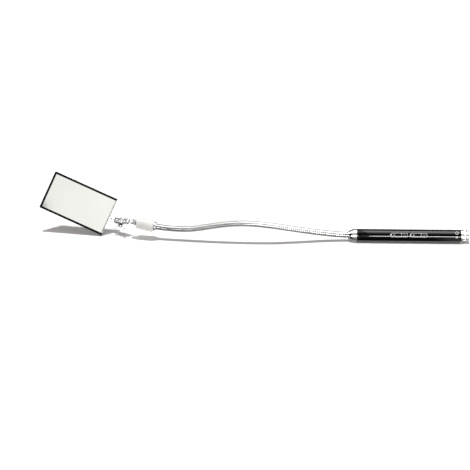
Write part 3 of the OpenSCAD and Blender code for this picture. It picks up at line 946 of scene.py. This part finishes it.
def make_arm():
    """The rod that carries the ball clamp, with a shoulder. Returns the radius of the ball on its end."""
    low, high = extent("arm_rod", HEAD)
    rod_r = (high.x - low.x) / 2
    groove_r = rod_r - 0.15
    neck_r = 0.8
    ball_low, ball_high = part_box("arm_ball")
    ball_r = (ball_high.x - ball_low.x) / 2 / MM
    ball_z = (HEAD.inverted() @ arm_ball_at).z / MM
    step = extent("lamp_hood", HEAD)[1].z + 5.5
    corners = [
        (low.z, 0), (low.z, rod_r, 0.2), (step - 1.6, rod_r), (step - 1.5, groove_r), (step - 1.2, groove_r),
        (step - 1.1, rod_r), (step, rod_r, 0.2), (step + 0.8, neck_r, 0.3), (step + 1.5, neck_r),
    ]
    pin = turned(rounded(corners, 0.05, False) + ball_cup(ball_z, ball_r + 0.03, neck_r), 48)
    fitted("arm_pin", [pin], on_own_axis("arm_rod"), "lamp_head", ["chrome"], ["arm_rod"])
    return ball_r


def ball_shell(radius):
    """A turned ball with a witness flat at its far pole and a fine groove round its waist."""
    rows = 40
    outline = [(-radius, 0)]
    for k in range(1, rows):
        angle = math.pi * k / rows - math.pi / 2
        groove = 0.04 * math.exp(-((angle / 0.05) ** 2))
        z = min(radius * math.sin(angle), radius * 0.985)
        outline.append((z, (radius - groove) * math.cos(angle)))
    outline.append((radius * 0.985, 0))
    return turned(outline, 72)


def make_balls(ball_r):
    """The arm's ball and the mirror's, each with its witness flat away from its stem."""
    ball = ball_shell(ball_r)
    from_stud = MIRROR @ Matrix.Rotation(math.pi / 2, 4, "Y")
    fitted("turned_arm_ball", [ball], ARM_BALL, "arm_ball", ["chrome"], ["arm_ball"])
    fitted("turned_mirror_ball", [ball], from_stud, "mirror_ball", ["chrome"], ["mirror_ball"])


# ---------------------------------------------------------------- ball clamp
def make_plates():
    """Two stamped plates, each with a waist, a raised lip round both sockets and the screw hole."""
    half = (mirror_ball_at - arm_ball_at).length / 2 / MM
    socket_r = 1.78
    hole_r = 1.58
    waist = 0.25
    sunk, proud = 0.1, 0.22
    holes = [disc(-half, 0, socket_r), disc(half, 0, socket_r), disc(0, 0, hole_r)]
    for node, face in (("clamp_plate_upper", 1), ("clamp_plate_lower", -1)):
        low, high = extent(node, CLAMP)
        end_r = high.y
        ends = []
        for k in range(96):
            angle = 2 * math.pi * k / 96
            x, y = math.cos(angle), math.sin(angle)
            ends.append((math.copysign(half, x) + end_r * x, end_r * y))
        top = [(half * x, end_r - waist * (1 - x * x)) for x in (0.66, 0.33, 0, -0.33, -0.66)]
        foot = [(-x, -y) for x, y in top]
        outline = ends[:25] + top + ends[25:73] + foot + ends[73:]
        outer_z = high.z if face > 0 else low.z
        corners = [
            (outer_z - face * sunk, socket_r + 0.02), (outer_z + face * proud, socket_r + 0.12),
            (outer_z + face * proud, socket_r + 0.32), (outer_z - face * sunk, socket_r + 0.62),
        ]
        lip = turned(rounded(corners, 0.1), 64)
        shells = [stamped([outline, *holes], low.z, high.z, 0.16)]
        shells += [moved(lip, Matrix.Translation((at, 0, 0))) for at in (-half, half)]
        fitted(f"{node}_stamping", shells, CLAMP, "clamp", ["stamped"], [node])


def threaded(radius, depth, pitch, low, high):
    """A shape for turned() that cuts a helical thread between two heights."""

    def shape(z, r, angle):
        if low < z < high and r > radius - 0.01:
            turn = (z / pitch - angle / (2 * math.pi)) % 1
            return r - depth * (1 - abs(2 * turn - 1))
        return r

    return shape


def make_screw():
    """Slotted pan-head screw with its thread, and the washer under the wing nut."""
    low, high = extent("clamp_screw", CLAMP)
    screw_r = 1.5
    head_r = high.x
    head_z = high.z - 1.5
    pitch = 0.5
    thread_end = extent("clamp_plate_lower", CLAMP)[0].z
    first = low.z + 0.35
    rows = math.ceil((head_z - low.z) / (pitch / 8))
    shank = [(first + (head_z - first) * k / rows, screw_r) for k in range(rows)]
    head = [
        (head_z, screw_r), (head_z, head_r, 0.15), (high.z - 0.55, head_r, 0.5),
        (high.z, head_r * 0.6, 0.8), (high.z, 0),
    ]
    outline = [(low.z, 0), (low.z, screw_r - 0.3), *shank, *rounded(head, 0.1, False)]
    body = turned(outline, 64, threaded(screw_r, 0.2, pitch, low.z + 0.3, thread_end))
    slot_half, slot_depth = 0.3, 0.6
    across = head_r + 1
    corners = [(-across, -slot_half), (across, -slot_half), (across, slot_half), (-across, slot_half)]
    slot = skinned([[(x, y, z) for x, y in corners] for z in (high.z - slot_depth, high.z + 1)])
    screw = cut_away("slotted_clamp_screw", [body], [slot])
    fitted("slotted_clamp_screw", screw, CLAMP, "clamp", ["chrome"], ["clamp_screw"])

    low, high = extent("clamp_washer", CLAMP)
    outer, inner = high.x, screw_r + 0.08
    corners = [(low.z, inner), (low.z, outer), (high.z, outer), (high.z, inner)]
    washer = turned(rounded(corners, 0.14), 72)
    fitted("flat_washer", [washer], CLAMP, "clamp_washer", ["stamped"], ["clamp_washer"])


def make_wing_nut():
    """Cast wing nut: conical hub and two ears melted into one skin."""
    low, high = extent("wing_nut", CLAMP)
    place = CLAMP @ Matrix.Translation((0, 0, high.z * MM)) @ Matrix.Rotation(math.pi, 4, "X")
    tall = high.z - low.z
    span = high.x
    hub_h = 3
    bore_r = 1.54
    ear_half = 0.5
    tip_x, tip_z, tip_r = span - 1.55, tall - 1.6, 1.5
    hub = [(0, bore_r), (0, 2.9), (0.5, 2.95), (hub_h, 2.45), (hub_h, bore_r)]
    bends = [math.pi * k / 12 - 0.35 for k in range(13)]
    outline = [
        (2, 0.45), (3.3, 0.75), (span - 0.35, tall - 2.7),
        *[(tip_x + tip_r * math.cos(bend), tip_z + tip_r * math.sin(bend)) for bend in bends],
        (3.4, tall - 3.2), (2, hub_h - 0.15),
    ]
    ear = stamped([outline], -ear_half, ear_half, 0.2)
    upright = Matrix.Rotation(math.pi / 2, 4, "X")
    shells = [turned(rounded(hub, 0.15), 72)]
    shells += [moved(ear, Matrix.Rotation(turn, 4, "Z") @ upright) for turn in (0, math.pi)]
    steps = [
        ("REMESH", {"mode": "VOXEL", "voxel_size": 0.11 * MM}),
        ("SMOOTH", {"factor": 0.6, "iterations": 6}),
    ]
    cast = with_modifiers("cast_wing_nut", shells, steps, 60)
    fitted("cast_wing_nut", cast, place, "wing_nut", ["stamped"], ["wing_nut"])


# ---------------------------------------------------------------- mirror
def superellipse(half_a, half_b, power, count=40):
    """A loop between an ellipse (power 2) and a rectangle (a high power)."""
    points = []
    for k in range(count):
        c, s = math.cos(2 * math.pi * k / count), math.sin(2 * math.pi * k / count)
        points.append((
            half_a * math.copysign(abs(c) ** (2 / power), c),
            half_b * math.copysign(abs(s) ** (2 / power), s),
        ))
    return points


def make_stud(ball_r):
    """A flat blade that necks down to a round stud hollowed for its ball; x runs to the ball at 0."""
    low, high = extent("mirror_stud", MIRROR)
    edge = extent("mirror_frame", MIRROR)[1].x
    half_w, half_t = high.y, 0.55
    shoulder_r, neck_r = 1, 0.8
    sections = [
        (low.x + 0.02, half_w - 1, half_t - 0.15, 8), (low.x + 0.15, half_w - 0.5, half_t - 0.03, 10),
        (low.x + 0.5, half_w - 0.15, half_t, 12), (low.x + 1.1, half_w, half_t, 14),
        (edge - 4, half_w, half_t, 14), (edge - 2, half_w - 0.3, half_t, 12),
        (edge - 0.8, half_w * 0.72, half_t, 9), (edge + 0.4, half_w * 0.42, half_t + 0.1, 6),
        (edge + 1.2, shoulder_r * 1.1, half_t + 0.3, 3), (edge + 1.7, shoulder_r, shoulder_r, 2),
        (edge + 3.3, shoulder_r, shoulder_r, 2), (edge + 3.6, neck_r, neck_r, 2),
    ]
    sections += [(x, r, r, 2) for x, r in ball_cup(0, ball_r + 0.03, neck_r)[:-1]]
    rings = []
    for x, half_a, half_b, power in sections:
        rings.append([(x, a, b) for a, b in superellipse(half_a, half_b, power)])
    stud = skinned(rings)
    fitted("bladed_stud", [stud], MIRROR, "mirror", ["stamped"], ["mirror_stud"], sharp=50)


def make_rivets():
    """Two domed rivets through the blade and the back plate."""
    low, high = extent("mirror_rivets", MIRROR)
    head_r = (high.y - low.y) / 2
    shank_r = 1.1
    seat = low.z + 0.65
    corners = [
        (low.z, 0), (low.z + 0.02, head_r * 0.55, 0.6), (low.z + 0.45, head_r, 0.25), (seat, head_r, 0.05),
        (seat, shank_r, 0), (high.z, shank_r), (high.z, 0),
    ]
    rivet = turned(rounded(corners, 0.05, False, steps=6), 48)
    shells = [moved(rivet, Matrix.Translation((x, 0, 0))) for x in (low.x + head_r, high.x - head_r)]
    fitted("domed_rivets", shells, MIRROR, "mirror", ["satin"], ["mirror_rivets"])


def make_back():
    """Rolled back plate with a pressed panel, rounded corners and an upturned edge on the joint side."""
    low, high = extent("mirror_back", MIRROR)
    plate_t = 0.6
    edge_t = 0.7
    corner = 1.2
    inset = 5
    press = 0.22
    slope = 1.4
    flange_gap = 1.25
    columns, rows = 150, 90
    middle = ((low + high) / 2).xy
    half = ((high - low) / 2).xy

    def depth(x, y):
        inside = min(half.x - inset - abs(x - middle.x), half.y - inset - abs(y - middle.y))
        share = min(max(inside / slope, 0), 1)
        return press * share * share * (3 - 2 * share)

    def trimmed(x, y):
        """Pulls the grid's corners onto a round corner."""
        over = Vector((abs(x - middle.x) - half.x + corner, abs(y - middle.y) - half.y + corner))
        if over.x <= 0 or over.y <= 0:
            return x, y
        out = over.normalized() * max(over)
        return (
            middle.x + math.copysign(half.x - corner + out.x, x - middle.x),
            middle.y + math.copysign(half.y - corner + out.y, y - middle.y),
        )

    outer, inner = [], []
    for j in range(rows + 1):
        for i in range(columns + 1):
            x, y = trimmed(low.x + (high.x - low.x) * i / columns, low.y + (high.y - low.y) * j / rows)
            outer.append((x, y, low.z + depth(x, y)))
            inner.append((x, y, low.z + plate_t))
    faces = []
    stride = columns + 1
    offset = len(outer)
    for j in range(rows):
        for i in range(columns):
            a = j * stride + i
            b = offset + a
            faces += [(a, a + stride, a + stride + 1, a + 1), (b, b + 1, b + stride + 1, b + stride)]
    border = list(range(columns)) + [j * stride + columns for j in range(rows)]
    border += [rows * stride + i for i in range(columns, 0, -1)] + [j * stride for j in range(rows, 0, -1)]
    faces += [(a, b, offset + b, offset + a) for a, b in zip(border, border[1:] + border[:1])]
    plate = outer + inner, faces

    inner_x = high.x - edge_t
    corners = [(inner_x, low.z), (high.x, low.z, 0.5), (high.x, high.z, 0.25), (inner_x, high.z, 0.25)]
    section = rounded(corners, 0.05)
    ends = middle.y - half.y + flange_gap, middle.y + half.y - flange_gap
    flange = skinned([[(x, y, z) for x, z in section] for y in ends])
    shells = [plate, flange]
    fitted("pressed_back_plate", shells, MIRROR, "mirror", ["back"], ["mirror_back"], sharp=50)


def make_glass():
    """The glass plate, silvered on its face, with ground and chamfered edges."""
    low, high = extent("mirror_glass", MIRROR)
    chamfer = 0.3
    loops = []
    for z, pull in ((low.z, chamfer), (low.z + chamfer, 0), (high.z - chamfer, 0), (high.z, chamfer)):
        left, right = low.x + pull, high.x - pull
        foot, top = low.y + pull, high.y - pull
        loops.append([(left, foot, z), (right, foot, z), (right, top, z), (left, top, z)])
    shells = [(*skinned(loops), 1)]
    piece = fitted(
        "mirror_plate", shells, MIRROR, "mirror",
        ["mirror", "glass_edge"], ["mirror_glass"], sharp=20,
    )
    for polygon in piece.data.polygons:
        if abs(polygon.normal.z) > 0.9:
            polygon.material_index = 0


def make_rim():
    """Glossy black channel round three sides of the glass, with round outer corners and square mouth."""
    low, high = extent("mirror_frame", MIRROR)
    wall = 0.95
    lip_w = 2.2
    lip_z = high.z - 0.3
    corner = 0.7
    smallest = 0.04
    along, bends = 20, 10
    corners = [
        (0, low.z, 0.2), (0, high.z, 0.35), (lip_w, high.z, 0.12), (lip_w, lip_z, 0.08),
        (wall, lip_z, 0.05), (wall, low.z, 0.2),
    ]
    section = rounded(corners, 0.1, steps=5)

    def station(kind, share):
        ring = []
        turn = math.pi / 2 * share
        for inward, z in section:
            r = max(corner - inward, smallest)
            left, top, foot = low.x + inward + r, high.y - inward - r, low.y + inward + r
            if kind == "top":
                x, y = high.x * (1 - share) + left * share, high.y - inward
            elif kind == "upper":
                x, y = left - r * math.sin(turn), top + r * math.cos(turn)
            elif kind == "lower":
                x, y = left - r * math.cos(turn), foot - r * math.sin(turn)
            else:
                x, y = left * (1 - share) + high.x * share, low.y + inward
            ring.append((x, y, z))
        return ring

    rings = [station("top", k / along) for k in range(along)]
    rings += [station(kind, k / bends) for kind in ("upper", "lower") for k in range(bends + 1)]
    rings += [station("foot", k / along) for k in range(1, along + 1)]
    rim = skinned(rings)
    fitted("black_rim", [rim], MIRROR, "mirror", ["rim"], ["mirror_frame"], sharp=50)


# ---------------------------------------------------------------- CAD nodes that stay as they are
def paint_nodes():
    """Materials of the CAD nodes whose shape is right."""
    paints = {
        "battery_liner": "paper", "contact_holder": "white_plastic", "front_contact": "brass",
        "rear_lead": "insulation", "tail_contact": "brass", "lamp_body": "white_plastic",
        "led_leads": "wire", "mirror_pad": "foam",
    }
    for node, paint in paints.items():
        data = frame["nodes"][node].data
        data.materials.clear()
        data.materials.append(PAINTS[paint])


# ---------------------------------------------------------------- stage
def glowing(name, strength):
    """A glowing card's nodes."""
    card = Nodes(name)
    card.tree.nodes.clear()
    card.light = card.node("ShaderNodeEmission", {"Color": (1, 1, 1, 1), "Strength": strength})
    card.node("ShaderNodeOutputMaterial", {0: card.light.outputs[0]})
    return card


def grey_glow(card, source, stops):
    """A grey ramp with stops of (position, glow)."""
    return card.colours(source, [(position, (glow, glow, glow * 0.985)) for position, glow in stops])


def seen_by(piece, camera=False, glossy=False, diffuse=False):
    piece.visible_camera = camera
    piece.visible_glossy = glossy
    piece.visible_transmission = camera or glossy
    piece.visible_diffuse = diffuse
    piece.visible_shadow = False
    piece.visible_volume_scatter = False


def make_card(name, centre, along, across, card):
    """A flat card given by its centre and its two half sides, seen only in reflections."""
    centre, along, across = Vector(centre), Vector(along), Vector(across)
    corners = [centre + a * along + b * across for a, b in ((-1, -1), (1, -1), (1, 1), (-1, 1))]
    mesh = bpy.data.meshes.new(name)
    mesh.from_pydata(corners, [], [(0, 1, 2, 3)])
    mesh.materials.append(card.material)
    piece = linked(name, mesh)
    seen_by(piece, glossy=True)


def written(name, work):
    """A mesh from bmesh work, which is freed."""
    mesh = bpy.data.meshes.new(name)
    work.to_mesh(mesh)
    work.free()
    return mesh


def make_dome(name, radius, card, camera=False, glossy=False):
    """A glowing sphere round the stage."""
    work = bmesh.new()
    bmesh.ops.create_uvsphere(work, u_segments=64, v_segments=32, radius=radius)
    mesh = written(name, work)
    mesh.shade_smooth()
    mesh.materials.append(card.material)
    dome = linked(name, mesh)
    seen_by(dome, camera=camera, glossy=glossy)


def away_from(card, way, place, reach):
    """How far a direction is from a place on the room's wall, with 1 at the given reach in radians."""
    gap = card.node("ShaderNodeVectorMath", {0: way, 1: place}, operation="DISTANCE")
    return card.spread(gap.outputs["Value"], 0, 1, 0, reach)


def lit_by(card, first, second, kind):
    """Two glows mixed fully in one way."""
    inputs = {"Factor": 1, "A": first, "B": second}
    return card.node("ShaderNodeMix", inputs, data_type="RGBA", blend_type=kind).outputs["Result"]


def make_reflected_room():
    """What shines in the chrome: pale floor, dim walls, and a white card with a dark corner."""
    radius = 12
    room = glowing("reflected_room", 1)
    place = room.node("ShaderNodeTexCoord").outputs["Object"]
    way = room.node("ShaderNodeVectorMath", {0: place}, operation="NORMALIZE").outputs[0]
    split = room.node("ShaderNodeSeparateXYZ", {0: way})

    def along(axis, stops):
        """A glow that follows one part of the direction, from -1 to 1."""
        share = room.spread(split.outputs[axis], 0, 1, -1, 1)
        return grey_glow(room, share, [((part + 1) / 2, glow) for part, glow in stops])

    degrees = [(-90, 0.02), (-31, 0.02), (-23, 0.42), (1, 0.6), (5, 0.03), (50, 0.03), (64, 0.35), (90, 0.5)]
    front = along("Z", [(math.sin(math.radians(angle)), glow) for angle, glow in degrees])
    behind = along("Y", [(0.05, 0), (0.2, 0.4), (0.6, 0.55)])
    right = along("X", [(0.16, 0), (0.2, 0.9)])
    low_down = along("Z", [(-0.12, 1), (0.02, 0)])
    floor = lit_by(room, lit_by(room, behind, right, "LIGHTEN"), low_down, "MULTIPLY")
    walls = lit_by(room, front, floor, "LIGHTEN")

    low, high = extent("mirror_glass", MIRROR)
    seen_from = bpy.context.scene.camera.matrix_world.translation
    glass_way = MIRROR.to_3x3() @ Vector((0, 0, 1))

    def shown_in_mirror(x, y):
        """The place on the wall that a point of the glass shows."""
        point = MIRROR @ (Vector((x, y, high.z)) * MM)
        sight = (point - seen_from).normalized()
        return (point + radius * sight.reflect(glass_way)).normalized()

    from_card = away_from(room, way, shown_in_mirror(high.x, 0), 0.15)
    from_corner = away_from(room, way, shown_in_mirror(low.x, low.y), 0.01)
    card = grey_glow(room, from_card, [(0, 0.985), (0.3, 0.9), (0.55, 0.8), (0.8, 0)])
    corner = grey_glow(room, from_corner, [(0, 0.3), (0.25, 0.62), (0.55, 0.93), (1, 1)])
    lit = lit_by(room, lit_by(room, walls, card, "LIGHTEN"), corner, "MULTIPLY")
    room.tree.links.new(lit, room.light.inputs["Color"])
    make_dome("reflected_room", radius, room, glossy=True)


def make_panel(name, left, right, strength):
    """A soft box above, brightest at its back edge and fading towards the front."""
    back, front, above = 0.5, -0.75, 1
    panel = glowing(name, strength)
    place = panel.node("ShaderNodeTexCoord").outputs["Object"]
    split = panel.node("ShaderNodeSeparateXYZ", {0: place})
    share = panel.spread(split.outputs["Y"], 0, 1, front, back)
    glow = grey_glow(panel, share, [(0, 0.03), (0.34, 0.33), (0.6, 0.8), (1, 1)])
    panel.tree.links.new(glow, panel.light.inputs["Color"])
    centre = ((left + right) / 2, (back + front) / 2, above)
    make_card(name, centre, ((right - left) / 2, 0, 0), (0, (back - front) / 2, 0), panel)


def make_floor():
    """A pale matt floor that can be looked through from below."""
    floor_r = 11
    work = bmesh.new()
    bmesh.ops.create_circle(work, cap_ends=True, segments=96, radius=floor_r)
    floor = linked("floor", written("floor", work))
    floor.location.z = FLOOR_Z
    white = Paint("floor_white", Roughness=1.0, Specular_IOR_Level=0)
    tones = [(0.3, (0.86, 0.86, 0.86)), (0.7, (0.88, 0.88, 0.875))]
    white.drive("Base Color", white.colours(white.noise(3), tones))
    side = white.node("ShaderNodeNewGeometry").outputs["Backfacing"]
    through = white.node("ShaderNodeBsdfTransparent").outputs[0]
    seen = white.node("ShaderNodeMixShader", {0: side, 1: white.shader.outputs[0], 2: through})
    white.tree.links.new(seen.outputs[0], white.tree.nodes["Material Output"].inputs["Surface"])
    floor.data.materials.append(white.material)
    floor.visible_glossy = False


def make_stage():
    """White floor and background, crisp light from above, even fill, and the cards that the gloss shows."""
    make_floor()
    make_dome("backdrop", 13, glowing("backdrop", 1), camera=True)
    make_reflected_room()
    make_panel("panel_over_handle", -0.03, 1.4, 9)
    make_panel("panel_over_mirror_end", -1.7, -0.03, 2.2)
    make_card("strip_low", (0.38, -2.5, 0.3), (0.39, 0, 0), (0, 0, 0.2), glowing("strip_low", 48))

    sun = bpy.data.lights.new("sun", "SUN")
    sun.energy = 2.9
    sun.angle = math.radians(4.5)
    lamp = linked("sun", sun)
    lamp.rotation_euler = (math.radians(-4), math.radians(-4), 0)
    lamp.visible_glossy = False

    world = bpy.data.worlds.new("fill")
    world.use_nodes = True
    fill = world.node_tree.nodes["Background"]
    fill.inputs["Color"].default_value = (1, 0.955, 0.945, 1)
    fill.inputs["Strength"].default_value = 0.46
    bpy.context.scene.world = world
    bpy.context.scene.view_settings.view_transform = "Standard"


make_camera()
make_barrel()
make_print()
make_front_ring()
make_rear_collar()
make_tail_cap()
make_seal()
make_spring()
make_cells()
make_neck()
make_ferrule()
make_hood()
make_led()
BALL_R = make_arm()
make_balls(BALL_R)
make_plates()
make_screw()
make_wing_nut()
make_stud(BALL_R)
make_rivets()
make_back()
make_glass()
make_rim()
paint_nodes()
make_stage()
